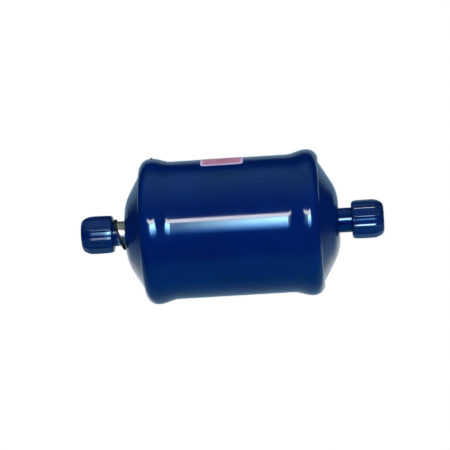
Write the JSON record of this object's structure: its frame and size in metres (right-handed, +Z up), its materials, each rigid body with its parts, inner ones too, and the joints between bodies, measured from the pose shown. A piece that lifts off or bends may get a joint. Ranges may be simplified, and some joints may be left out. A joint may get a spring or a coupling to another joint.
{
  "type": "filter drier",
  "caption": "Inline refrigeration filter drier: a belled steel tube with domed heads, flare fittings at both ends and ribbed screw caps, holding a spring-loaded desiccant core.",
  "frame": {"origin": "on the drier's axis, midway between the outer ends of the two caps", "axes": "+X along the axis, in the flow direction from inlet to outlet; +Z up; the label is turned 36 degrees from +Z towards +Y"},
  "size_m": [0.136, 0.0656, 0.0656],
  "materials": {
    "blue_paint": "gloss",
    "painted_fitting": "gloss on the neck, bare steel under the cap",
    "cap_plastic": "semi-gloss",
    "seal_rubber": "matt",
    "label_paper": "satin",
    "plain_steel": "plain",
    "screen_mesh": "fine mesh",
    "felt": "matt",
    "moulded_desiccant": "matt, slightly porous"
  },
  "bodies": {
    "drier": {"shell_tube": "blue_paint", "inlet_head": "blue_paint", "outlet_head": "blue_paint", "inlet_rim_seal": "seal_rubber", "outlet_rim_seal": "seal_rubber", "inlet_fitting": "painted_fitting", "outlet_fitting": "painted_fitting", "neck_ring": "seal_rubber", "body_label": "label_paper", "core_spring": "plain_steel", "spring_plate": "plain_steel", "inlet_pad": "felt", "desiccant_core": "moulded_desiccant", "core_gasket": "felt", "outlet_pad": "felt", "perforated_plate": "plain_steel", "outlet_screen": "screen_mesh"},
    "inlet_cap_seal": {"inlet_cap_seal": "seal_rubber"},
    "inlet_cap": {"inlet_cap": "cap_plastic"},
    "outlet_cap_seal": {"outlet_cap_seal": "seal_rubber"},
    "outlet_cap": {"outlet_cap": "cap_plastic"}
  },
  "joints": [
    {"name": "inlet_cap_travel", "type": "slide", "parent": "drier", "child": "inlet_cap_seal", "axis": [-1, 0, 0], "range_m": [0, 0.0089]},
    {"name": "inlet_cap_turn", "type": "hinge", "parent": "inlet_cap_seal", "child": "inlet_cap", "pos_m": [-0.06, 0, 0], "axis": [-1, 0, 0], "range_deg": [0, 2520]},
    {"name": "outlet_cap_travel", "type": "slide", "parent": "drier", "child": "outlet_cap_seal", "axis": [1, 0, 0], "range_m": [0, 0.0089]},
    {"name": "outlet_cap_turn", "type": "hinge", "parent": "outlet_cap_seal", "child": "outlet_cap", "pos_m": [0.06, 0, 0], "axis": [1, 0, 0], "range_deg": [0, 2520]}
  ],
  "couplings": [
    {"joint": "inlet_cap_travel", "follows": "inlet_cap_turn", "m_per_rad": 0.00020213},
    {"joint": "outlet_cap_travel", "follows": "outlet_cap_turn", "m_per_rad": 0.00020213}
  ]
}
